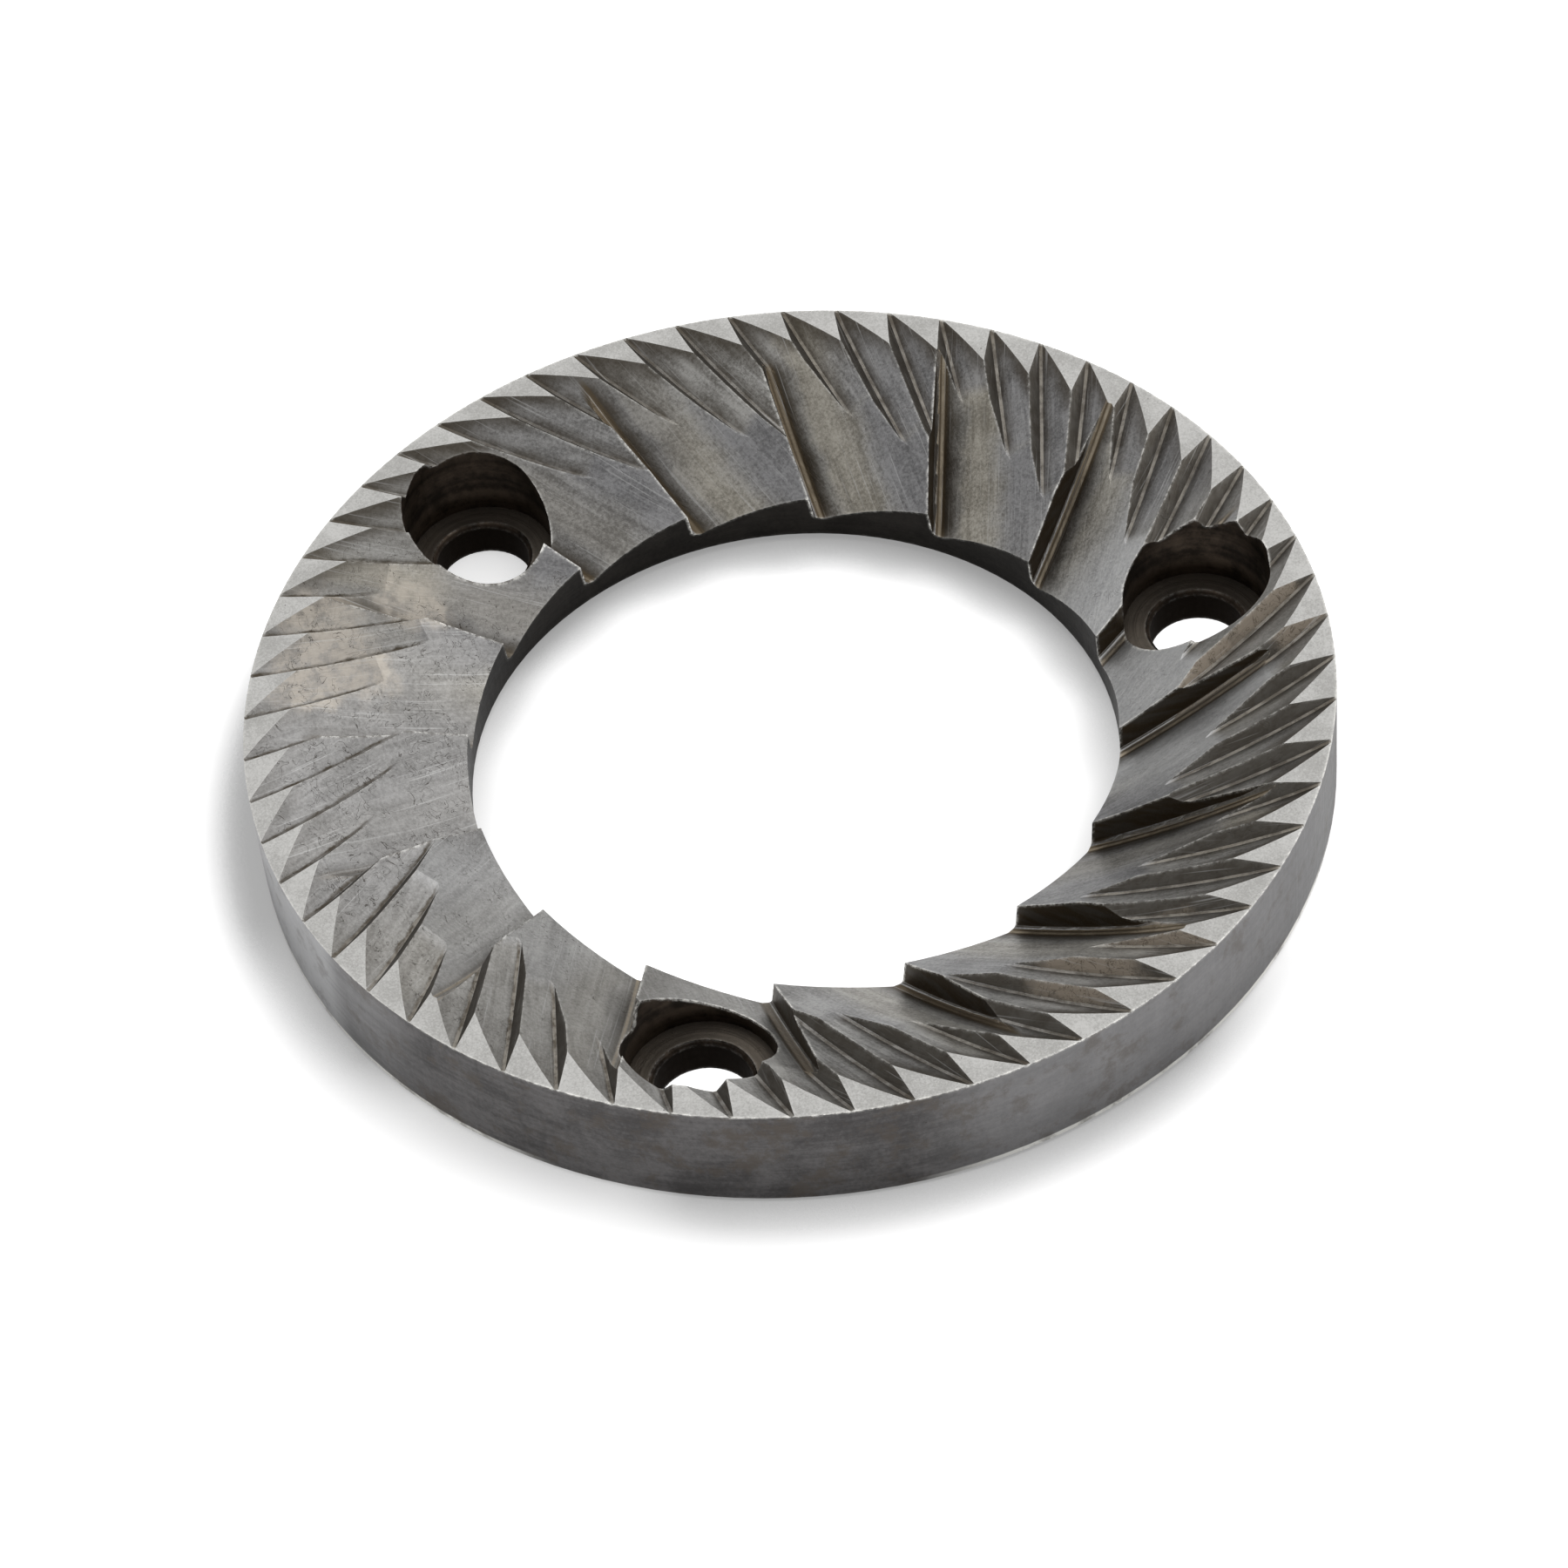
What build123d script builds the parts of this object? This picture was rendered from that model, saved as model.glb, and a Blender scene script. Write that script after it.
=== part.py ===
from build123d import *
import math
import os

# A flat coffee grinder burr: one hardened steel ring with two sets of grooves cut
# into its upper face, three counterbored screw holes and a flat back.
# Millimetres and degrees, +Z up. The origin is the centre of the back face.
# Azimuths turn counter-clockwise from +X, seen from above.

# Ring blank
outer_diameter = 64.0
bore_diameter = 38.6
thickness = 7.5
rim_back_chamfer = 0.3
bore_back_chamfer = 0.6

# Coarse grooves, which draw the beans in and run out well inside the rim
coarse_count = 16
coarse_azimuth = -0.2        # of the first groove, where its line crosses the rim
coarse_skew = 13.75          # turn of the groove away from the ring's radius
coarse_runout = 2.3          # from the rim to where the bottom meets the land
coarse_entry = 33.0          # slope of the bottom at that point
coarse_disc_radius = 56.4    # radius of the disc that cuts the groove
coarse_wall_angle = 82.0     # steep cutting wall above the horizontal
coarse_ramp_angle = 27.0     # trailing ramp above the horizontal
coarse_flat = 0.24           # flat bottom left between the two roundings
coarse_root_radius = 0.25    # rounding where the bottom meets wall and ramp

# Fine grooves, which grind and run out just at the rim
fine_count = 60
fine_azimuth = 1.8
fine_skew = 27.64
fine_runout = 0.03
fine_entry = 16.9
fine_disc_radius = 52.5
fine_wall_angle = 48.0
fine_ramp_angle = 31.3
fine_flat = 0.2

# Counterbored screw holes
hole_count = 3
hole_azimuth = 13.7
hole_circle_diameter = 51.2
screw_hole_diameter = 5.7
screw_hole_chamfer = 0.25     # at the seat
counterbore_diameter = 8.8
screw_seat_height = 2.3      # metal left under the screw's head

# A cutting disc reaches this far past the metal that it leaves
cutter_overrun = 4.0
cutter_headroom = 1.0

# One fine cutter lies within this much of a turn
fine_cutter_span = 60.0

outer_radius = outer_diameter / 2
bore_radius = bore_diameter / 2


def ring_blank():
    """The turned ring, with both back edges broken."""
    outline = Polyline(
        (bore_radius + bore_back_chamfer, 0),
        (outer_radius - rim_back_chamfer, 0),
        (outer_radius, rim_back_chamfer),
        (outer_radius, thickness),
        (bore_radius, thickness),
        (bore_radius, bore_back_chamfer),
        close=True,
    )
    return revolve(Plane.XZ * make_face(outline), Axis.Z)


def disc_profile(radius, height, wall_angle, ramp_angle, flat, root_radius):
    """Section of a cutting disc's edge: x across the groove, y out from the disc's axis."""
    wall_turn = math.radians(wall_angle)
    ramp_turn = math.radians(ramp_angle)
    wall_corner = -flat / 2 - root_radius * math.tan(wall_turn / 2)
    ramp_corner = flat / 2 + root_radius * math.tan(ramp_turn / 2)
    outline = Polyline(
        (wall_corner - height / math.tan(wall_turn), radius - height),
        (wall_corner, radius),
        (ramp_corner, radius),
        (ramp_corner + height / math.tan(ramp_turn), radius - height),
        close=True,
    )
    profile = make_face(outline)
    if root_radius > 0:
        profile = fillet(profile.vertices().group_by(Axis.Y)[-1], root_radius)
    return profile


def groove_cutter(skew, runout, entry, radius, wall_angle, ramp_angle, flat, root_radius=0):
    """The stretch of a cutting disc that sinks into the ring, at azimuth 0.

    It is built where the groove crosses the rim: x runs inward along the groove,
    z is up, and the land is at z = 0. The disc stands on edge, so its edge leaves a
    groove with an arc for a bottom, falling away from the runout towards the bore.
    """
    turn = math.radians(skew)
    fall = math.radians(entry)
    centre_x = runout + radius * math.sin(fall)
    centre_z = radius * math.cos(fall)

    # Both ends of the arc lie outside the metal
    bore_chord = math.sqrt(bore_radius**2 - (outer_radius * math.sin(turn)) ** 2)
    inner_end = outer_radius * math.cos(turn) - bore_chord + cutter_overrun
    outer_end = min(runout, 0) - cutter_overrun
    inner_turn = math.asin((centre_x - inner_end) / radius)
    outer_turn = math.asin((centre_x - outer_end) / radius)

    deepest = radius * math.cos(inner_turn) - centre_z
    height = deepest + cutter_headroom
    profile = disc_profile(radius, height, wall_angle, ramp_angle, flat, root_radius)
    inner_plane = Plane(
        origin=(centre_x, 0, centre_z),
        x_dir=(0, 1, 0),
        z_dir=(-math.cos(inner_turn), 0, math.sin(inner_turn)),
    )
    disc_axis = Axis((centre_x, 0, centre_z), (0, 1, 0))
    cutter = revolve(inner_plane * profile, disc_axis, math.degrees(outer_turn - inner_turn))
    groove_plane = Plane(
        origin=(outer_radius, 0, thickness),
        x_dir=(-math.cos(turn), -math.sin(turn), 0),
        z_dir=(0, 0, 1),
    )
    return groove_plane * cutter


def around_ring(shape, count, first_azimuth):
    """Copies of a shape at even steps round the ring's axis."""
    return [Rot(0, 0, first_azimuth + k * 360 / count) * shape for k in range(count)]


def coarse_cutters():
    cutter = groove_cutter(
        coarse_skew,
        coarse_runout,
        coarse_entry,
        coarse_disc_radius,
        coarse_wall_angle,
        coarse_ramp_angle,
        coarse_flat,
        coarse_root_radius,
    )
    return around_ring(cutter, coarse_count, coarse_azimuth)


def fine_cutters():
    cutter = groove_cutter(
        fine_skew,
        fine_runout,
        fine_entry,
        fine_disc_radius,
        fine_wall_angle,
        fine_ramp_angle,
        fine_flat,
    )
    return around_ring(cutter, fine_count, fine_azimuth)


def screw_hole_cutters():
    """Screw hole, seat and counterbore as one turned form, open at both faces."""
    screw_radius = screw_hole_diameter / 2
    head_radius = counterbore_diameter / 2
    outline = Polyline(
        (0, -cutter_headroom),
        (screw_radius, -cutter_headroom),
        (screw_radius, screw_seat_height - screw_hole_chamfer),
        (screw_radius + screw_hole_chamfer, screw_seat_height),
        (head_radius, screw_seat_height),
        (head_radius, thickness + cutter_headroom),
        (0, thickness + cutter_headroom),
        close=True,
    )
    cutter = revolve(Plane.XZ * make_face(outline), Axis.Z)
    placed = Pos(hole_circle_diameter / 2, 0, 0) * cutter
    return around_ring(placed, hole_count, hole_azimuth)


def in_rounds(cutters, span):
    """Cutters dealt into rounds, so that those of one round stay clear of each other."""
    step = 360 / len(cutters)
    rounds = min(len(cutters), math.ceil(span / step))
    return [cutters[first::rounds] for first in range(rounds)]


def burr():
    part = ring_blank() - screw_hole_cutters() - coarse_cutters()
    for cutters in in_rounds(fine_cutters(), fine_cutter_span):
        part = part - cutters
    return part


os.makedirs("parts", exist_ok=True)
export_step(burr(), "parts/burr.step")
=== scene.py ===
import math

import bpy
from mathutils import Matrix, Vector

# A flat coffee grinder burr on a plain white surface. Metres, in the part's own place.

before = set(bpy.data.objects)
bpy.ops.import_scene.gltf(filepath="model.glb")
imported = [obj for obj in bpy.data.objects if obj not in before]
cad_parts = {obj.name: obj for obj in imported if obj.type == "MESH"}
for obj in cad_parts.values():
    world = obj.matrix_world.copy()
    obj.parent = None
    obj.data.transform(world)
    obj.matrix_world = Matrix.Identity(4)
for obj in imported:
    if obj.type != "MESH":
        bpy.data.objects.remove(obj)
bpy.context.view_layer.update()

# The ring and its grooves as the node is made, in millimetres and degrees
RIM_RADIUS = 32.0
BORE_RADIUS = 19.3
THICKNESS = 7.5
COARSE = {
    "count": 16,
    "azimuth": -0.2,
    "skew": 13.75,
    "runout": 2.3,
    "entry": 33.0,
    "disc_radius": 56.4,
    "ramp_angle": 27.0,
    "ramp_foot": 0.18,
    "bottom_reach": 0.32,
}
FINE = {
    "count": 60,
    "azimuth": 1.8,
    "skew": 27.64,
    "runout": 0.03,
    "entry": 16.9,
    "disc_radius": 52.5,
    "ramp_angle": 31.3,
    "ramp_foot": 0.1,
    "bottom_reach": 0.14,
}
HOLE_COUNT = 3
HOLE_AZIMUTH = 13.7
HOLE_CIRCLE_RADIUS = 25.6
COUNTERBORE_RADIUS = 4.4
SCREW_HOLE_RADIUS = 2.85
SEAT_HEIGHT = 2.3

# Millimetres in a metre
MILLIMETRES = 1000.0

# The photograph's camera
CAMERA_ELEVATION = 47.998
CAMERA_ROLL = -6.407
CAMERA_DISTANCE = 0.32034
CAMERA_LENS = 123.56
CAMERA_SENSOR = 36.0
CAMERA_SIDE_SHIFT = 0.000804
CAMERA_UP_SHIFT = 0.000594
CAMERA_CLIP_START = 0.01
CAMERA_CLIP_END = 10.0

# Colours, as linear values
LAND_DARK = (0.318, 0.313, 0.30, 1)
LAND_LIGHT = (0.455, 0.45, 0.436, 1)
RAMP_DARK = (0.125, 0.119, 0.108, 1)
RAMP_LIGHT = (0.345, 0.338, 0.322, 1)
OLIVE_DARK = (0.175, 0.160, 0.130, 1)
OLIVE_LIGHT = (0.385, 0.362, 0.312, 1)
BLUE_DARK = (0.106, 0.105, 0.108, 1)
BLUE_LIGHT = (0.244, 0.243, 0.248, 1)
CLEAN_DARK = (0.27, 0.27, 0.272, 1)
CLEAN_LIGHT = (0.52, 0.52, 0.515, 1)
FOOT_BROWN = (0.05, 0.040, 0.028, 1)
BOTTOM_BROWN = (0.09, 0.068, 0.042, 1)
# Painted highlights along the groove bottoms
FINE_BOTTOM_HIGHLIGHT = (0.32, 0.292, 0.248, 1)
COARSE_BOTTOM_HIGHLIGHT = (0.33, 0.282, 0.213, 1)
# Groove walls: painted shade, tinted brown
COARSE_WALL_SHADE = (0.052, 0.038, 0.023, 1)
FINE_WALL_SHADE = (0.070, 0.062, 0.052, 1)
TAN = (0.40, 0.362, 0.312, 1)
COFFEE = (0.228, 0.194, 0.155, 1)
RIM_DARK = (0.054, 0.051, 0.051, 1)
RIM_LIGHT = (0.117, 0.112, 0.112, 1)
RIM_STAIN = (0.078, 0.066, 0.056, 1)
# Painted light on the rim
RIM_PAINTED_LIGHT = (0.36, 0.36, 0.365, 1)
# The bore: painted shade, tinted brown
BORE_SHADE_DARK = (0.006, 0.005, 0.004, 1)
BORE_SHADE_LIGHT = (0.015, 0.013, 0.011, 1)
# Counterbores and screw holes: painted shade, tinted brown
HOLE_SHADE_DARK = (0.012, 0.008, 0.005, 1)
HOLE_SHADE_LIGHT = (0.062, 0.045, 0.032, 1)
SEAT = (0.115, 0.100, 0.082, 1)
# Chips, and the painted highlight along edges
CHIP_AND_HIGHLIGHT = (0.85, 0.84, 0.80, 1)
# Grime, and the painted shade in corners
GRIME_AND_CORNER_SHADE = (0.03, 0.024, 0.018, 1)
EDGE_TINT = (0.75, 0.75, 0.75, 1)

# How metallic the steel looks, and the strength and depth in metres of its fine relief
METALLIC = 0.85
RELIEF_STRENGTH = 0.35
RELIEF_DEPTH = 0.00006

# Sectors with their own wear and stains, and sectors of painted light and shade: middle azimuth and
# half width in degrees, and strength
STAINED_BACK = (95, 75, 1.0)
STAINED_FRONT = (-50, 50, 1.0)
DULL_COARSE_FRONT = (-34, 16, 0.5)
DULL_FINE_BACK = (52, 32, 0.8)
DULL_BY_BORE = (141, 16, 0.5)
DULL_LEFT = (186, 28, 0.5)
DULL_BACK_LEFT = (118, 20, 0.5)
CLEANEST = (4, 31, 1.0)
CLEAN_FRONT_LEFT = (215, 20, 0.45)
CLEAN_FRONT = (282, 40, 0.33)
EVEN_LEFT = (195, 75, 1.0)
RAGGED_BOTTOMS = (198, 72, 1.0)
# Where the painted highlights along the groove bottoms are strongest
BOTTOM_HIGHLIGHTS_RIGHT = (12, 86, 1.0)
BOTTOM_HIGHLIGHTS_LEFT = (228, 24, 1.0)
# Painted light on the rim's left and lower right, and painted shade at its right
RIM_LIT_MOST = (200, 13, 0.72)
RIM_LIT_LEFT = (197, 29, 0.42)
RIM_LIT_RIGHT = (-46, 38, 0.32)
RIM_SHADED_RIGHT = (-12, 30, 0.85)
# Where the painted highlight along the rim's lower edge shows
LOWER_EDGE_HIGHLIGHT_LEFT = (207, 34, 1.0)
LOWER_EDGE_HIGHLIGHT_RIGHT = (-50, 34, 1.0)
SOILED_CRESTS = (185, 62, 1.0)

# A sector is full over this share of its half width, and a spot over this share of its reach
SECTOR_CORE = 0.6
SPOT_CORE = 0.55

# How far noise moves the edges of spots, bands and dirt, in millimetres
SPOT_RAGGEDNESS = 4.0
FOOT_RAGGEDNESS = 0.9
BAND_RAGGEDNESS = 1.6
CREST_RAGGEDNESS = 0.7
BOTTOM_RAGGEDNESS = 0.5

# Deposits: radius, azimuth and reach of each spot
TAN_SPOTS = ((25.0, 151.0, 2.9), (29.0, 159.5, 3.3), (27.3, 165.0, 3.7), (28.8, 170.0, 2.7))
COFFEE_SPOTS = (
    (28.0, 7.0, 3.6),
    (30.3, 1.5, 2.4),
    (24.6, 357.0, 3.2),
    (27.5, 303.0, 4.0),
    (29.4, 312.0, 3.0),
)

# Limits of the normal's vertical share, from where a kind of surface begins to where it is full
UPRIGHT_NORMAL = (0.5, 0.4)
LAND_NORMAL = (0.99, 0.998)
SEAT_NORMAL = (0.8, 0.95)
FINE_WALL_NORMAL = (0.5, 0.6)
COARSE_WALL_NORMAL = (0.55, 0.42)

# The same for the normal's share across the groove, on a fine wall
FINE_WALL_FACING = (-0.25, -0.45)

# How far off a wall or the top no longer counts as on it, and how far still does
ON_TOP = (0.2, 0.05)
ON_WALL = (0.15, 0.05)
IN_COUNTERBORE = (0.03, 0.01)

# The seat, outward from the screw hole's wall, and the screw hole, up from the seat
ON_SEAT = (0.0, 0.3)
BELOW_SEAT = (-0.2, -0.4)
IN_SCREW_HOLE = (-0.05, -0.15)

# Bands across a coarse ramp, in millimetres from its foot, with soft edges
OLIVE_BEGINS = (0.8, 1.8)
OLIVE_ENDS = (4.6, 2.6)
BLUE_BEGINS = (3.2, 5.2)
# Where the foot's band of dirt and painted shadow ends
FOOT_DIRT_AND_SHADOW_ENDS = (1.5, 0.2)

# Dirt on a fine ramp, in millimetres below its crest
CREST_DIRT_ENDS = (0.75, 0.0)

# The stretch by the bore that is dull at the back left, as radii
BORE_DULLNESS_ENDS = (25.5, 23.0)

# How much deeper the fine groove has to be than the coarse one, to be the one that shows
FINE_DEPTH = (0.0, 0.30)

# Dirt and painted highlights along the bottoms: how far to the side each ends and where it is full
FINE_DIRT_REACH = 0.85
FINE_DIRT_REACH_LEFT = 0.20
FINE_DIRT_CORE = 0.05
FINE_HIGHLIGHT_ENDS = (0.17, 0.06)
COARSE_DIRT_ENDS = (0.45, 0.30)
RAMP_HIGHLIGHT_SIDE = -0.08
RAMP_HIGHLIGHT_ENDS = (0.15, 0.04)
WALL_HIGHLIGHT_SIDE = 0.21
WALL_HIGHLIGHT_ENDS = (0.09, 0.03)

# The painted highlight close to the rim's lower edge, as heights
LOWER_EDGE_HIGHLIGHT_ENDS = (0.66, 0.56)

# A noise's middle, and the range in which most of its values lie
NOISE_MIDDLE = 0.5
NOISE_RANGE = (0.38, 0.62)

# Limits of a noise, from where a mark is absent to where it is full
RAMP_NOISE = (0.38, 0.61)
HOLE_NOISE = (0.38, 0.64)
RIM_STAIN_NOISE = (0.50, 0.66)
# Limits for the streaks in the rim's painted light
RIM_LIT_NOISE = (0.3, 0.6)
VEIN_NOISE = (0.34, 0.60)
SMEAR_NOISE = (0.40, 0.66)
CHIP_NOISE = (0.42, 0.60)
SCRATCH_NOISE = (0.44, 0.52)
TOOL_MARK_NOISE = (0.60, 0.72)

# How much wider the ramps' limits are where the tone is more even
RAMP_EVENNESS = 0.09

# Thin lines lie this close to a noise's middle, and specks this close to a cell's centre
CRACK_WIDTH = 0.02
HAIR_WIDTH = 0.012
SPECK_SIZES = (0.07, 0.03)

# Features per millimetre, of noise that is drawn out one way
RINGS_ACROSS = 4.0
RINGS_UP = 0.9
SMEARS_ALONG = 0.35
SMEARS_UP = 1.6

# Strengths of single marks
COARSE_DIRT_STRENGTH = 0.8
# Strengths of the painted highlights towards the ramp and towards the wall
RAMP_HIGHLIGHT_STRENGTH = 0.75
WALL_HIGHLIGHT_STRENGTH = 0.35
WALL_PATCH_STRENGTH = 0.4
CRACK_STRENGTH = 0.7
SPECK_STRENGTH = 0.7
SOIL_STRENGTH = 0.6
TOOL_MARK_STRENGTH = 0.3
# Strengths of the rim stains under and over the rim's painted light
STAIN_UNDER_RIM_LIGHT = 0.6
STAIN_OVER_RIM_LIGHT = 0.4

# Roughness of the bare steel, and what each mark adds
BARE_ROUGHNESS = 0.26
MOTTLE_ROUGHNESS = 0.22
STREAK_ROUGHNESS = 0.14
DIRT_ROUGHNESS = 0.25
SCREW_HOLE_ROUGHNESS = 0.5

# Relief of each mark, where that of the streaks is 1
GRAIN_RELIEF = 0.6
RING_RELIEF = 1.5
MOTTLE_RELIEF = 0.5
SPECK_RELIEF = 1.0
SCRATCH_RELIEF = 0.5

# Worn edges with their painted highlight, and corners with dirt and painted shade: how far they reach
# in metres, and the openness that shows them
EDGE_REACH = 0.00022
EDGE_OPENNESS = (0.84, 0.50)
CORNER_REACH = 0.0008
CORNER_OPENNESS = (0.70, 0.25)
OCCLUSION_SAMPLES = 4

# The white floor, and its contact shadow close to the burr
FLOOR_REACH = 3.0
FLOOR_WHITE = (0.9, 0.9, 0.9, 1)
FLOOR_ROUGHNESS = 0.9
FLOOR_GLOW = 0.46
SCREW_HOLE_GLOW = 0.5
SCREW_HOLE_BLUR = 1.0
CONTACT_GREY = (0.20, 0.20, 0.20, 1)
CONTACT_GLOW = 0.276
CONTACT_REACH = 0.0042
CONTACT_OPENNESS = (1.0, 0.48)
OUTER_SHADOW_AZIMUTH = 225.0
OUTER_SHADOW_SIDE = (-0.4, 0.3)
OUTER_SHADOW_STRENGTH = 1.25
OUTER_SHADOW_THIN = (OUTER_SHADOW_AZIMUTH, 34, 0.6)
OUTER_SHADOW_LEFT = (175, 50, 0.8)
INNER_SHADOW_AZIMUTH = 78.0
INNER_SHADOW_STRENGTHS = (0.6, 1.5)
SHADED_HOLE = (HOLE_AZIMUTH + 360 / HOLE_COUNT, 30, 1.0)

# Lamps and surroundings
BACK_SOFTBOX = {"place": (0.0, 0.56, 0.68), "size": 1.2, "power": 2.4}
RIGHT_SOFTBOX = {"place": (0.75, 0.10, 0.55), "size": 1.0, "power": 3.6}
STUDIO_GREY = (0.75, 0.75, 0.75, 1)


class Tree:
    """A material's nodes. A value is a number, a colour or the output of a node."""

    def __init__(self, name):
        self.material = bpy.data.materials.new(name)
        self.material.use_nodes = True
        self.nodes = self.material.node_tree.nodes
        self.links = self.material.node_tree.links
        self.shader = self.nodes["Principled BSDF"]

    def feed(self, socket, value):
        if isinstance(value, bpy.types.NodeSocket):
            self.links.new(value, socket)
        else:
            socket.default_value = value

    def add(self, kind, values, **settings):
        node = self.nodes.new(kind)
        for key, setting in settings.items():
            setattr(node, key, setting)
        for key, value in values.items():
            self.feed(node.inputs[key], value)
        return node

    def calculate(self, operation, first, second=0.0):
        return self.add("ShaderNodeMath", {0: first, 1: second}, operation=operation).outputs[0]

    def plus(self, first, second):
        return self.calculate("ADD", first, second)

    def minus(self, first, second):
        return self.calculate("SUBTRACT", first, second)

    def times(self, first, second):
        return self.calculate("MULTIPLY", first, second)

    def all_of(self, *masks):
        """1 where every mask is 1. A number among them is a strength."""
        whole = masks[0]
        for mask in masks[1:]:
            whole = self.times(whole, mask)
        return whole

    def largest(self, *values):
        whole = values[0]
        for value in values[1:]:
            whole = self.calculate("MAXIMUM", whole, value)
        return whole

    def without(self, mask):
        return self.minus(1.0, mask)

    def step(self, value, low, high):
        """0 below low, 1 above high and smooth between; low may be the larger."""
        limits = {"Value": value, "From Min": low, "From Max": high}
        node = self.add("ShaderNodeMapRange", limits, interpolation_type="SMOOTHSTEP")
        return node.outputs[0]

    def near(self, value, middle, end, full):
        """1 where a value lies within full of the middle, and 0 where it lies past end."""
        return self.step(self.calculate("ABSOLUTE", self.minus(value, middle)), end, full)

    def spread(self, value, low, high):
        """Turns 0 to 1 into low to high."""
        return self.plus(self.times(value, high - low), low)

    def between(self, share, low, high):
        """Low where the share is 0 and high where it is 1."""
        return self.plus(self.times(low, self.without(share)), self.times(high, share))

    def blend(self, share, low, high):
        """The same as between, for colours."""
        node = self.add("ShaderNodeMix", {0: share, 6: low, 7: high}, data_type="RGBA")
        return node.outputs[2]

    def mixture(self, *parts):
        """Sum of values, each times its weight."""
        whole = 0.0
        for value, weight in parts:
            whole = self.plus(whole, self.times(value, weight))
        return whole

    def vector(self, x, y, z):
        return self.add("ShaderNodeCombineXYZ", {0: x, 1: y, 2: z}).outputs[0]

    def noise(self, place, scale, detail, roughness=0.6, distortion=0.0):
        values = {
            "Vector": place,
            "Scale": scale,
            "Detail": detail,
            "Roughness": roughness,
            "Distortion": distortion,
        }
        return self.add("ShaderNodeTexNoise", values).outputs[0]

    def cells(self, place, scale):
        """Distance from the nearest of many scattered points."""
        values = {"Vector": place, "Scale": scale}
        return self.add("ShaderNodeTexVoronoi", values, feature="F1").outputs["Distance"]


class Surface:
    """Where a point of the burr or the floor lies, in millimetres and radians."""

    def __init__(self, tree):
        self.tree = tree
        coordinates = tree.add("ShaderNodeTexCoord", {})
        scaled = tree.add("ShaderNodeVectorMath", {0: coordinates.outputs["Object"]}, operation="SCALE")
        scaled.inputs["Scale"].default_value = MILLIMETRES
        self.place = scaled.outputs[0]
        place = tree.add("ShaderNodeSeparateXYZ", {0: self.place})
        normal = tree.add("ShaderNodeSeparateXYZ", {0: coordinates.outputs["Normal"]})
        self.x, self.y, self.z = place.outputs
        self.normal_x, self.normal_y, self.normal_z = normal.outputs
        square = tree.plus(tree.times(self.x, self.x), tree.times(self.y, self.y))
        self.radius = tree.calculate("SQRT", square)
        self.azimuth = tree.calculate("ARCTAN2", self.y, self.x)
        self.hole_distance = self.find_hole_distance()

    def find_hole_distance(self):
        """Distance from the axis of the nearest screw hole."""
        tree = self.tree
        step = math.tau / HOLE_COUNT
        turned = tree.plus(self.azimuth, step / 2 - math.radians(HOLE_AZIMUTH) + math.tau)
        folded = tree.minus(tree.calculate("MODULO", turned, step), step / 2)
        square = tree.plus(tree.times(self.radius, self.radius), HOLE_CIRCLE_RADIUS**2)
        towards = tree.times(self.radius, tree.calculate("COSINE", folded))
        square = tree.minus(square, tree.times(towards, 2 * HOLE_CIRCLE_RADIUS))
        return tree.calculate("SQRT", square)

    def towards(self, azimuth):
        """1 on the side of an azimuth and -1 on the far side."""
        turned = self.tree.minus(self.azimuth, math.radians(azimuth))
        return self.tree.calculate("COSINE", turned)

    def within(self, sector):
        """The sector's strength inside it, fading to 0 over its outer part."""
        middle, half, strength = sector
        end = math.cos(math.radians(half))
        full = math.cos(math.radians(half * SECTOR_CORE))
        return self.tree.times(self.tree.step(self.towards(middle), end, full), strength)

    def spots(self, spots):
        """1 inside any of the spots, which have cloudy outlines."""
        tree = self.tree
        cloud = tree.noise(self.place, scale=0.45, detail=4, roughness=0.55)
        cloud = tree.times(tree.minus(cloud, NOISE_MIDDLE), SPOT_RAGGEDNESS)
        inside = 0.0
        for radius, azimuth, reach in spots:
            turn = math.radians(azimuth)
            across = tree.minus(self.x, radius * math.cos(turn))
            up = tree.minus(self.y, radius * math.sin(turn))
            square = tree.plus(tree.times(across, across), tree.times(up, up))
            away = tree.plus(tree.calculate("SQRT", square), cloud)
            inside = tree.largest(inside, tree.step(away, reach, reach * SPOT_CORE))
        return inside


class BurrSurface(Surface):
    """Adds a mask for each kind of surface: upright walls, lands, rim, bore and counterbores."""

    def __init__(self, tree):
        super().__init__(tree)
        self.upright = tree.step(self.normal_z, *UPRIGHT_NORMAL)
        level = tree.step(self.normal_z, *LAND_NORMAL)
        self.land = tree.all_of(level, tree.near(self.z, THICKNESS, *ON_TOP))
        self.rim = tree.all_of(self.upright, tree.near(self.radius, RIM_RADIUS, *ON_WALL))
        self.bore = tree.all_of(self.upright, tree.near(self.radius, BORE_RADIUS, *ON_WALL))
        past_wall = tree.minus(self.hole_distance, COUNTERBORE_RADIUS)
        self.hole = tree.step(past_wall, *IN_COUNTERBORE)


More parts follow.
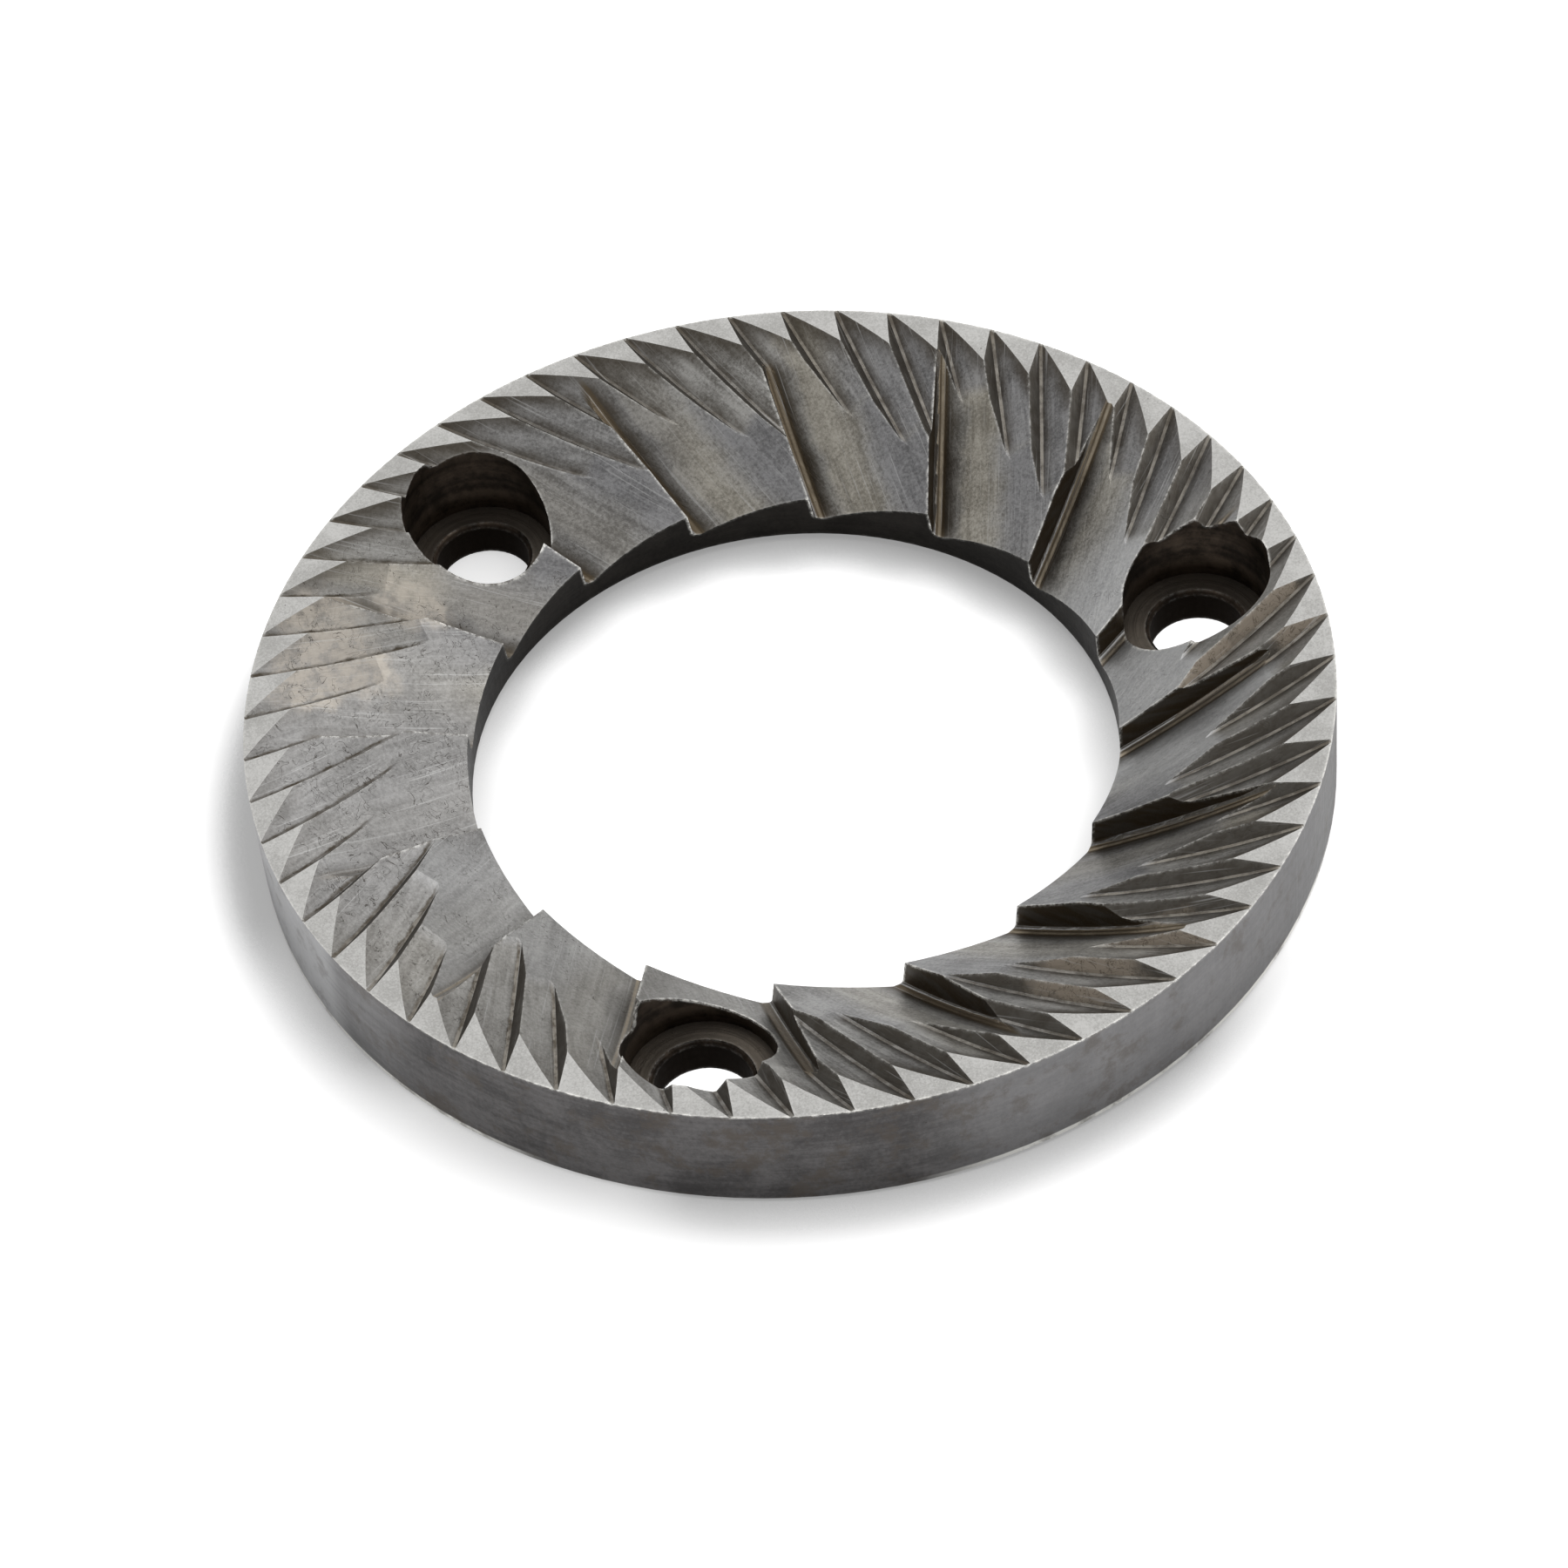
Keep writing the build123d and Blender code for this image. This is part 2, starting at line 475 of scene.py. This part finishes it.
class Groove:
    """The groove whose ramp or bottom a point belongs to, in one of the two families."""

    def __init__(self, tree, surface, family):
        self.tree = tree
        skew = math.radians(family["skew"])
        step = math.tau / family["count"]
        first = math.radians(family["azimuth"])
        axis_gap = RIM_RADIUS * math.sin(skew)
        lean = tree.calculate("ARCSINE", tree.calculate("DIVIDE", axis_gap, surface.radius))
        rim_azimuth = tree.plus(surface.azimuth, tree.minus(lean, skew + first))
        turns = tree.calculate("DIVIDE", rim_azimuth, step)
        shared = family["bottom_reach"] / (RIM_RADIUS * step)
        number = tree.calculate("CEIL", tree.minus(turns, shared))
        own = tree.minus(tree.minus(surface.azimuth, skew + first), tree.times(number, step))
        # Sideways from the groove's line, less than zero on the ramp, and inward from the rim
        self.side = tree.plus(tree.times(surface.radius, tree.calculate("SINE", own)), axis_gap)
        inward = tree.times(surface.radius, tree.calculate("COSINE", own))
        self.along = tree.minus(RIM_RADIUS * math.cos(skew), inward)
        self.number = tree.calculate("FLOORED_MODULO", number, family["count"])
        across = tree.plus(tree.times(number, step), first + skew + math.pi / 2)
        facing_x = tree.times(surface.normal_x, tree.calculate("COSINE", across))
        facing_y = tree.times(surface.normal_y, tree.calculate("SINE", across))
        # The normal's share across the groove: more than zero on a ramp
        self.facing = tree.plus(facing_x, facing_y)
        self.height = self.find_height(family)

    def find_height(self, family):
        """Height at which this family's disc would leave the metal here."""
        tree = self.tree
        entry = math.radians(family["entry"])
        disc_radius = family["disc_radius"]
        centre_along = family["runout"] + disc_radius * math.sin(entry)
        centre_height = THICKNESS + disc_radius * math.cos(entry)
        slope = math.tan(math.radians(family["ramp_angle"]))
        beside = tree.minus(tree.times(self.side, -1), family["ramp_foot"])
        rise = tree.times(tree.largest(beside, 0), slope)
        left = tree.minus(disc_radius, rise)
        ahead = tree.minus(self.along, centre_along)
        square = tree.minus(tree.times(left, left), tree.times(ahead, ahead))
        return tree.minus(centre_height, tree.calculate("SQRT", tree.largest(square, 0)))

    def streaks(self, across, along, detail):
        """Noise drawn out along the groove, its own in every groove."""
        tree = self.tree
        # Far enough apart in the noise for neighbours to differ
        groove_spacing = 7.3
        place = tree.vector(
            tree.times(self.side, across),
            tree.times(self.along, along),
            tree.times(self.number, groove_spacing),
        )
        return tree.noise(place, scale=1.0, detail=detail, roughness=0.65)


def ramp_tone(tree, surface, coarse, fine, fine_share, clouds):
    """How light a ramp is: streaks along its groove, clouds and a fine grain."""
    coarse_streaks = coarse.streaks(across=2.4, along=0.16, detail=6)
    fine_streaks = fine.streaks(across=3.2, along=0.30, detail=5)
    streaks = tree.between(fine_share, coarse_streaks, fine_streaks)
    grain = tree.noise(surface.place, scale=5.0, detail=4, roughness=0.75)
    tone = tree.mixture((streaks, 0.30), (clouds, 0.28), (grain, 0.42))
    even = tree.largest(surface.within(CLEANEST), surface.within(EVEN_LEFT))
    wider = tree.times(even, RAMP_EVENNESS)
    low, high = RAMP_NOISE
    return tree.step(tone, tree.minus(low, wider), tree.plus(high, wider))


def blue_share(tree, surface, band, fine_share, stained):
    """Bluish bands high on the coarse ramps, and sectors that are dull all over."""
    coarse_share = tree.without(fine_share)
    bluish = tree.all_of(tree.step(band, *BLUE_BEGINS), coarse_share, tree.spread(stained, 0.1, 0.9))
    near_bore = tree.step(surface.radius, *BORE_DULLNESS_ENDS)
    return tree.largest(
        bluish,
        tree.all_of(surface.within(DULL_COARSE_FRONT), coarse_share),
        tree.all_of(surface.within(DULL_FINE_BACK), fine_share),
        tree.all_of(surface.within(DULL_BY_BORE), near_bore),
        surface.within(DULL_LEFT),
        surface.within(DULL_BACK_LEFT),
    )


def clean_share(tree, surface, fine_share):
    """The right is the cleanest, then the front."""
    coarse_clean = tree.plus(surface.within(CLEANEST), surface.within(CLEAN_FRONT_LEFT))
    coarse_clean = tree.all_of(coarse_clean, tree.without(fine_share))
    return tree.plus(coarse_clean, surface.within(CLEAN_FRONT))


def ramp_colour(tree, surface, coarse, fine, fine_share):
    """Ramps: streaks along the groove, with a brown band of dirt and painted shadow, an olive and a
    bluish band.
    """
    clouds = tree.noise(surface.place, scale=0.30, detail=4, roughness=0.6)
    cloud = tree.minus(clouds, NOISE_MIDDLE)
    foot = tree.plus(tree.times(coarse.side, -1), tree.times(cloud, FOOT_RAGGEDNESS))
    band = tree.plus(foot, tree.times(cloud, BAND_RAGGEDNESS))

    # The back and the lower right of the ring are the most stained
    stained = tree.plus(surface.within(STAINED_BACK), surface.within(STAINED_FRONT))
    begins = tree.step(band, *OLIVE_BEGINS)
    olive = tree.all_of(begins, tree.step(band, *OLIVE_ENDS), tree.spread(stained, 0.15, 0.85))
    bands = (
        (olive, OLIVE_DARK, OLIVE_LIGHT),
        (blue_share(tree, surface, band, fine_share, stained), BLUE_DARK, BLUE_LIGHT),
        (clean_share(tree, surface, fine_share), CLEAN_DARK, CLEAN_LIGHT),
    )
    dark = RAMP_DARK
    light = RAMP_LIGHT
    for share, band_dark, band_light in bands:
        dark = tree.blend(share, dark, band_dark)
        light = tree.blend(share, light, band_light)
    colour = tree.blend(ramp_tone(tree, surface, coarse, fine, fine_share, clouds), dark, light)

    # Dirt and painted shadow at the feet of the coarse walls, and dirt below the crests of the fine
    # ramps
    at_foot = tree.step(foot, *FOOT_DIRT_AND_SHADOW_ENDS)
    brown = tree.all_of(at_foot, tree.without(fine_share), tree.spread(stained, 0.3, 0.95))
    colour = tree.blend(brown, colour, FOOT_BROWN)
    below_crest = tree.minus(THICKNESS, surface.z)
    below_crest = tree.plus(below_crest, tree.times(cloud, CREST_RAGGEDNESS))
    at_crest = tree.step(below_crest, *CREST_DIRT_ENDS)
    crest = tree.all_of(at_crest, fine_share, tree.spread(stained, 0.15, 0.8))
    return tree.blend(crest, colour, FOOT_BROWN)


def fine_bottom_colour(tree, surface, fine, fine_share, highlight_strength, patchy, colour):
    """Dirt in the bottoms of the fine grooves, thin and ragged at the left, and a painted highlight
    along the bottom.
    """
    left = surface.within(RAGGED_BOTTOMS)
    ragged = tree.noise(surface.place, scale=0.8, detail=5, roughness=0.7)
    ragged = tree.all_of(tree.minus(ragged, NOISE_MIDDLE), left, BOTTOM_RAGGEDNESS)
    side = tree.plus(fine.side, ragged)
    reach = tree.between(left, FINE_DIRT_REACH, FINE_DIRT_REACH_LEFT)
    strength = tree.between(left, tree.spread(patchy, 0.8, 0.5), tree.spread(patchy, 1.0, 0.5))
    dirt = tree.all_of(tree.near(side, 0.0, reach, FINE_DIRT_CORE), fine_share, strength)
    colour = tree.blend(dirt, colour, FOOT_BROWN)
    # A painted highlight along the fine bottom
    strength = tree.all_of(highlight_strength, tree.spread(patchy, 0.15, 0.5))
    line = tree.all_of(tree.near(side, 0.0, *FINE_HIGHLIGHT_ENDS), fine_share, strength)
    return tree.blend(line, colour, FINE_BOTTOM_HIGHLIGHT)


def coarse_bottom_colour(tree, surface, coarse, coarse_share, highlight_strength, patchy, colour):
    """Dirt in the bottoms of the coarse grooves, with painted highlights towards the ramp and the wall.
    """
    left = surface.within(RAGGED_BOTTOMS)
    dirt = tree.near(coarse.side, 0.0, *COARSE_DIRT_ENDS)
    dirt = tree.all_of(dirt, coarse_share, tree.spread(left, 1.0, 0.3), COARSE_DIRT_STRENGTH)
    colour = tree.blend(dirt, colour, BOTTOM_BROWN)
    # Painted highlights on the bottom's rounding, towards the ramp and towards the wall
    ramp_highlight = tree.near(coarse.side, RAMP_HIGHLIGHT_SIDE, *RAMP_HIGHLIGHT_ENDS)
    wall_highlight = tree.near(coarse.side, WALL_HIGHLIGHT_SIDE, *WALL_HIGHLIGHT_ENDS)
    line = tree.mixture((ramp_highlight, RAMP_HIGHLIGHT_STRENGTH), (wall_highlight, WALL_HIGHLIGHT_STRENGTH))
    line = tree.all_of(line, coarse_share, highlight_strength, tree.spread(patchy, 1.0, 0.55))
    return tree.blend(line, colour, COARSE_BOTTOM_HIGHLIGHT)


def fine_wall_colour(tree, surface, fine, patchy, colour):
    """Walls of the fine grooves: dark with painted shade, tinted brown, with dried coffee on a few of
    them.
    """
    facing = tree.step(fine.facing, *FINE_WALL_FACING)
    wall = tree.all_of(facing, tree.step(surface.normal_z, *FINE_WALL_NORMAL))
    # The wall's dark tone is painted shade
    tone = tree.blend(tree.times(patchy, WALL_PATCH_STRENGTH), FINE_WALL_SHADE, RAMP_DARK)
    cracks = tree.noise(surface.place, scale=1.1, detail=3, roughness=0.6, distortion=1.0)
    cracks = tree.near(cracks, NOISE_MIDDLE, CRACK_WIDTH, 0.0)
    deposit = tree.blend(tree.times(cracks, CRACK_STRENGTH), COFFEE, FOOT_BROWN)
    tone = tree.blend(surface.spots(COFFEE_SPOTS), tone, deposit)
    return tree.blend(wall, colour, tone)


def coarse_wall_colour(tree, surface, coarse, colour):
    """Walls of the coarse grooves: nearly black with painted shade, with lighter smears along them."""
    wall = tree.step(surface.normal_z, *COARSE_WALL_NORMAL)
    along = tree.times(coarse.along, SMEARS_ALONG)
    place = tree.vector(along, tree.times(surface.z, SMEARS_UP), coarse.number)
    smears = tree.step(tree.noise(place, scale=1.0, detail=4), *SMEAR_NOISE)
    return tree.blend(wall, colour, tree.blend(smears, COARSE_WALL_SHADE, FINE_WALL_SHADE))


def groove_colour(tree, surface, coarse, fine):
    """All that the discs have cut: ramps, bottoms and walls, with their stains."""
    fine_share = tree.step(tree.minus(coarse.height, fine.height), *FINE_DEPTH)
    coarse_share = tree.without(fine_share)
    colour = ramp_colour(tree, surface, coarse, fine, fine_share)
    veins = tree.noise(surface.place, scale=1.2, detail=4, roughness=0.7)
    veins = tree.spread(tree.step(veins, *VEIN_NOISE), 0.25, 0.7)
    colour = tree.blend(tree.all_of(surface.spots(TAN_SPOTS), veins), colour, TAN)
    patchy = tree.step(fine.streaks(across=1.5, along=0.8, detail=3), *NOISE_RANGE)
    # Where the painted highlights along the bottoms are strongest
    highlight_strength = tree.largest(surface.within(BOTTOM_HIGHLIGHTS_RIGHT), surface.within(BOTTOM_HIGHLIGHTS_LEFT))
    highlight_strength = tree.spread(highlight_strength, 0.12, 1.0)
    colour = fine_bottom_colour(tree, surface, fine, fine_share, highlight_strength, patchy, colour)
    colour = coarse_bottom_colour(tree, surface, coarse, coarse_share, highlight_strength, patchy, colour)
    colour = fine_wall_colour(tree, surface, fine, patchy, colour)
    return coarse_wall_colour(tree, surface, coarse, colour)


def land_colour(tree, surface):
    """Ground lands: a light grey grain with a few fainter clouds."""
    grain = tree.noise(surface.place, scale=9.0, detail=3, roughness=0.7)
    clouds = tree.noise(surface.place, scale=0.35, detail=3)
    tone = tree.mixture((grain, 0.6), (clouds, 0.4))
    return tree.blend(tree.step(tone, *NOISE_RANGE), LAND_DARK, LAND_LIGHT), grain


def turned_colour(tree, surface, dark, light, around, up):
    """Turned walls: faint lines round the axis over cloudy stains."""
    x = tree.times(tree.calculate("COSINE", surface.azimuth), around)
    y = tree.times(tree.calculate("SINE", surface.azimuth), around)
    place = tree.vector(x, y, tree.times(surface.z, up))
    lines = tree.noise(place, scale=1.0, detail=5, roughness=0.65)
    clouds = tree.noise(surface.place, scale=0.28, detail=4, distortion=0.6)
    grain = tree.noise(surface.place, scale=3.5, detail=3, roughness=0.7)
    tone = tree.mixture((lines, 0.30), (clouds, 0.45), (grain, 0.25))
    return tree.blend(tree.step(tone, *NOISE_RANGE), dark, light), lines


def rim_colour(tree, surface):
    """The rim: dark and stained, with painted light on its left and lower right, painted shade at its
    right, and a painted highlight along its lower edge.
    """
    colour, lines = turned_colour(tree, surface, RIM_DARK, RIM_LIGHT, around=6.0, up=2.2)
    stains = tree.noise(surface.place, scale=0.45, detail=5, roughness=0.7)
    stains = tree.step(stains, *RIM_STAIN_NOISE)
    colour = tree.blend(tree.times(stains, STAIN_UNDER_RIM_LIGHT), colour, RIM_STAIN)
    # Painted light on the rim's left and lower right, streaked along the turned lines
    rim_lit = tree.plus(surface.within(RIM_LIT_MOST), surface.within(RIM_LIT_LEFT))
    rim_lit = tree.times(rim_lit, tree.spread(tree.step(lines, *RIM_LIT_NOISE), 0.75, 1.0))
    rim_lit = tree.plus(rim_lit, surface.within(RIM_LIT_RIGHT))
    # Painted shade at the rim's right
    colour = tree.blend(surface.within(RIM_SHADED_RIGHT), colour, RIM_DARK)
    colour = tree.blend(rim_lit, colour, RIM_PAINTED_LIGHT)
    colour = tree.blend(tree.times(stains, STAIN_OVER_RIM_LIGHT), colour, RIM_STAIN)
    # A painted highlight along the rim's lower edge
    lower_edge_highlight = tree.plus(surface.within(LOWER_EDGE_HIGHLIGHT_RIGHT), surface.within(LOWER_EDGE_HIGHLIGHT_LEFT))
    at_edge = tree.step(surface.z, *LOWER_EDGE_HIGHLIGHT_ENDS)
    lower_edge_highlight = tree.all_of(at_edge, lower_edge_highlight, tree.spread(stains, 0.9, 0.4))
    return tree.blend(lower_edge_highlight, colour, CHIP_AND_HIGHLIGHT), lines


def hole_colour(tree, surface):
    """Counterbores: near black in painted shade, tinted brown, with rings left by the cutter and a worn
    seat.
    """
    across = tree.times(surface.hole_distance, RINGS_ACROSS)
    place = tree.vector(across, tree.times(surface.z, RINGS_UP), 0.0)
    rings = tree.noise(place, scale=1.0, detail=3)
    clouds = tree.noise(surface.place, scale=0.7, detail=4, roughness=0.7)
    tone = tree.mixture((rings, 0.4), (clouds, 0.6))
    colour = tree.blend(tree.step(tone, *HOLE_NOISE), HOLE_SHADE_DARK, HOLE_SHADE_LIGHT)
    beside_screw = tree.minus(surface.hole_distance, SCREW_HOLE_RADIUS)
    level = tree.step(surface.normal_z, *SEAT_NORMAL)
    seat = tree.all_of(level, tree.step(beside_screw, *ON_SEAT))
    colour = tree.blend(tree.times(seat, tree.spread(rings, 0.4, 1.0)), colour, SEAT)
    below_seat = tree.step(tree.minus(surface.z, SEAT_HEIGHT), *BELOW_SEAT)
    # The screw hole below the seat in the darkest painted shade
    return tree.blend(below_seat, colour, HOLE_SHADE_DARK), rings


def worn_and_highlit_edges(tree, surface, chips, left, colour):
    """Edges worn and chipped bright, which also paints the highlight that an edge catches, or soiled at
    the left.
    """
    settings = {"samples": OCCLUSION_SAMPLES, "inside": True, "only_local": True}
    within = tree.add("ShaderNodeAmbientOcclusion", {"Distance": EDGE_REACH}, **settings)
    edge = tree.step(within.outputs["AO"], *EDGE_OPENNESS)
    off_land = tree.without(surface.land)
    soiled = tree.all_of(edge, left, tree.without(chips), off_land, SOIL_STRENGTH)
    colour = tree.blend(soiled, colour, FOOT_BROWN)
    # Bright edges: wear and chips, and a painted highlight along the edges
    worn = tree.all_of(edge, tree.spread(chips, 0.10, 0.95), tree.spread(left, 1.0, 0.4))
    return tree.blend(worn, colour, CHIP_AND_HIGHLIGHT)


def shaded_and_dirty_corners(tree, surface, chips):
    """Where dirt has stayed in the corners, which also paints the shade that falls there."""
    reach = {"Distance": CORNER_REACH}
    around = tree.add("ShaderNodeAmbientOcclusion", reach, samples=OCCLUSION_SAMPLES)
    corner = tree.step(around.outputs["AO"], *CORNER_OPENNESS)
    return tree.all_of(corner, tree.spread(chips, 0.7, 0.5), tree.without(surface.land))


def hair_scratches(tree, surface):
    """Fine curved scratches here and there, off the lands and the upright walls."""
    hair = tree.noise(surface.place, scale=0.8, detail=2, roughness=0.5, distortion=2.0)
    hairline = tree.near(hair, NOISE_MIDDLE, HAIR_WIDTH, 0.0)
    where = tree.step(tree.noise(surface.place, scale=0.4, detail=1), *SCRATCH_NOISE)
    return tree.all_of(hairline, where, tree.without(tree.largest(surface.land, surface.upright)))


def tool_marks(tree, surface, coarse):
    """Faint light marks of the coarse disc, along its grooves."""
    marks = tree.step(coarse.streaks(across=9.0, along=0.11, detail=2), *TOOL_MARK_NOISE)
    elsewhere = tree.largest(surface.land, surface.upright, surface.hole)
    return tree.all_of(marks, tree.without(elsewhere), TOOL_MARK_STRENGTH)


def set_roughness(tree, surface, streaks, mottle, corner_shade_and_dirt):
    """Dirt and the screw holes are duller than the bare steel."""
    screw_hole = tree.step(tree.minus(surface.z, SEAT_HEIGHT), *IN_SCREW_HOLE)
    screw_hole = tree.all_of(surface.hole, screw_hole, SCREW_HOLE_ROUGHNESS)
    stained = tree.largest(tree.times(corner_shade_and_dirt, DIRT_ROUGHNESS), screw_hole)
    uneven = tree.mixture((mottle, MOTTLE_ROUGHNESS), (streaks, STREAK_ROUGHNESS))
    roughness = tree.plus(tree.plus(uneven, BARE_ROUGHNESS), stained)
    tree.feed(tree.shader.inputs["Roughness"], roughness)


def steel():
    """The burr: each kind of surface in its own tones, groove walls, bore and holes darkened with
    painted shade, then wear with painted highlights, dirt with painted shade, specks and scratches.
    """
    tree = Tree("hardened_steel")
    surface = BurrSurface(tree)
    coarse = Groove(tree, surface, COARSE)
    fine = Groove(tree, surface, FINE)

    land_tone, grain = land_colour(tree, surface)
    rim_tone, rim_lines = rim_colour(tree, surface)
    # The bore is a turned wall like the rim, in near-black tones of painted shade
    bore_tone, bore_lines = turned_colour(tree, surface, BORE_SHADE_DARK, BORE_SHADE_LIGHT, around=4.0, up=1.8)
    hole_tone, rings = hole_colour(tree, surface)
    colour = groove_colour(tree, surface, coarse, fine)
    colour = tree.blend(surface.land, colour, land_tone)
    colour = tree.blend(surface.rim, colour, rim_tone)
    colour = tree.blend(surface.bore, colour, bore_tone)
    colour = tree.blend(surface.hole, colour, hole_tone)

    chips = tree.noise(surface.place, scale=2.6, detail=5, roughness=0.75)
    chips = tree.step(chips, *CHIP_NOISE)
    left = surface.within(SOILED_CRESTS)
    colour = worn_and_highlit_edges(tree, surface, chips, left, colour)
    corner_shade_and_dirt = shaded_and_dirty_corners(tree, surface, chips)
    # Dirt and painted shade in the corners
    colour = tree.blend(corner_shade_and_dirt, colour, GRIME_AND_CORNER_SHADE)
    specks = tree.step(tree.cells(surface.place, scale=1.1), *SPECK_SIZES)
    specks = tree.all_of(specks, tree.step(chips, 0.5, 0.9))
    colour = tree.blend(tree.times(specks, SPECK_STRENGTH), colour, GRIME_AND_CORNER_SHADE)
    scratch = hair_scratches(tree, surface)
    colour = tree.blend(tree.times(scratch, tree.spread(left, 0.35, 0.8)), colour, GRIME_AND_CORNER_SHADE)
    colour = tree.blend(tool_marks(tree, surface, coarse), colour, CLEAN_LIGHT)
    tree.feed(tree.shader.inputs["Base Color"], colour)

    streaks = fine.streaks(across=6.0, along=0.25, detail=4)
    mottle = tree.noise(surface.place, scale=1.5, detail=5, roughness=0.7)
    set_roughness(tree, surface, streaks, mottle, corner_shade_and_dirt)
    tree.shader.inputs["Metallic"].default_value = METALLIC
    tree.shader.inputs["Specular Tint"].default_value = EDGE_TINT

    relief = tree.between(surface.land, streaks, tree.times(grain, GRAIN_RELIEF))
    relief = tree.between(surface.rim, relief, rim_lines)
    relief = tree.between(surface.bore, relief, bore_lines)
    relief = tree.between(surface.hole, relief, tree.times(rings, RING_RELIEF))
    relief = tree.plus(relief, tree.times(mottle, MOTTLE_RELIEF))
    relief = tree.minus(relief, tree.mixture((specks, SPECK_RELIEF), (scratch, SCRATCH_RELIEF)))
    shape = {"Strength": RELIEF_STRENGTH, "Distance": RELIEF_DEPTH, "Height": relief}
    bump = tree.add("ShaderNodeBump", shape)
    tree.feed(tree.shader.inputs["Normal"], bump.outputs[0])
    return tree.material


def contact_shadow(tree, surface, hole):
    """The shadow close to the burr, stronger where the lamps reach least."""
    reach = {"Distance": CONTACT_REACH}
    near = tree.add("ShaderNodeAmbientOcclusion", reach, samples=OCCLUSION_SAMPLES)
    contact = tree.step(near.outputs["AO"], *CONTACT_OPENNESS)
    outer = tree.step(surface.towards(OUTER_SHADOW_AZIMUTH), *OUTER_SHADOW_SIDE)
    thinner = tree.without(surface.within(OUTER_SHADOW_THIN))
    outer = tree.all_of(outer, OUTER_SHADOW_STRENGTH, thinner)
    outer = tree.plus(outer, surface.within(OUTER_SHADOW_LEFT))
    inner = tree.spread(surface.towards(INNER_SHADOW_AZIMUTH), *INNER_SHADOW_STRENGTHS)
    inner = tree.largest(inner, 0.0)
    outside = tree.step(surface.radius, BORE_RADIUS, RIM_RADIUS)
    shadow = tree.all_of(contact, tree.between(outside, inner, outer), tree.without(hole))
    return tree.calculate("MINIMUM", shadow, 1.0)


def white_surface():
    """The floor: white to the camera and in reflections, and darkened by the burr's shadow."""
    tree = Tree("white_surface")
    surface = Surface(tree)
    blurred_end = SCREW_HOLE_RADIUS + SCREW_HOLE_BLUR
    hole = tree.step(surface.hole_distance, blurred_end, SCREW_HOLE_RADIUS)
    contact = contact_shadow(tree, surface, hole)
    tree.feed(tree.shader.inputs["Base Color"], tree.blend(contact, FLOOR_WHITE, CONTACT_GREY))
    tree.shader.inputs["Roughness"].default_value = FLOOR_ROUGHNESS
    tree.shader.inputs["Specular IOR Level"].default_value = 0.0
    rays = tree.add("ShaderNodeLightPath", {}).outputs
    seen = tree.largest(rays["Is Camera Ray"], rays["Is Glossy Ray"], rays["Is Transmission Ray"])
    lit = tree.spread(surface.within(SHADED_HOLE), SCREW_HOLE_GLOW, 0.0)
    level = tree.plus(tree.times(hole, lit), tree.spread(contact, FLOOR_GLOW, CONTACT_GLOW))
    glow = tree.add("ShaderNodeEmission", {"Strength": tree.times(seen, level)})
    together = tree.add("ShaderNodeAddShader", {0: tree.shader.outputs[0], 1: glow.outputs[0]})
    tree.feed(tree.nodes["Material Output"].inputs["Surface"], together.outputs[0])
    return tree.material


def add_floor():
    mesh = bpy.data.meshes.new("floor")
    corners = [(x * FLOOR_REACH, y * FLOOR_REACH, 0) for x, y in ((-1, -1), (1, -1), (1, 1), (-1, 1))]
    mesh.from_pydata(corners, [], [(0, 1, 2, 3)])
    mesh.materials.append(white_surface())
    floor = bpy.data.objects.new("floor", mesh)
    bpy.context.scene.collection.objects.link(floor)


def add_camera():
    """The camera stands on the -Y side and looks at a point close to the ring's centre."""
    lift = math.radians(CAMERA_ELEVATION)
    turn = math.radians(CAMERA_ROLL)
    forward = Vector((0, math.cos(lift), -math.sin(lift)))
    right = Vector((1, 0, 0))
    up = Vector((0, math.sin(lift), math.cos(lift)))
    image_right = right * math.cos(turn) + up * math.sin(turn)
    image_up = up * math.cos(turn) - right * math.sin(turn)
    place = right * -CAMERA_SIDE_SHIFT + up * -CAMERA_UP_SHIFT - forward * CAMERA_DISTANCE
    data = bpy.data.cameras.new("camera")
    data.lens = CAMERA_LENS
    data.sensor_width = CAMERA_SENSOR
    data.clip_start = CAMERA_CLIP_START
    data.clip_end = CAMERA_CLIP_END
    camera = bpy.data.objects.new("camera", data)
    axes = Matrix((image_right, image_up, -forward)).transposed()
    camera.matrix_world = Matrix.Translation(place) @ axes.to_4x4()
    bpy.context.scene.collection.objects.link(camera)
    bpy.context.scene.camera = camera


def add_lamp(name, place, size, power):
    """A round lamp that faces the burr."""
    data = bpy.data.lights.new(name, "AREA")
    data.shape = "DISK"
    data.size = size
    data.energy = power
    lamp = bpy.data.objects.new(name, data)
    lamp.location = place
    lamp.rotation_mode = "QUATERNION"
    lamp.rotation_quaternion = (-Vector(place)).to_track_quat("-Z", "Y")
    bpy.context.scene.collection.objects.link(lamp)


def add_world():
    world = bpy.data.worlds.new("studio")
    bpy.context.scene.world = world
    world.use_nodes = True
    background = world.node_tree.nodes["Background"]
    background.inputs["Color"].default_value = STUDIO_GREY
    background.inputs["Strength"].default_value = 1.0


add_camera()
add_floor()
add_world()
add_lamp("back_softbox", **BACK_SOFTBOX)
add_lamp("right_softbox", **RIGHT_SOFTBOX)

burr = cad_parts["burr"]
burr.data.materials.clear()
burr.data.materials.append(steel())

bpy.context.scene.view_settings.view_transform = "Standard"
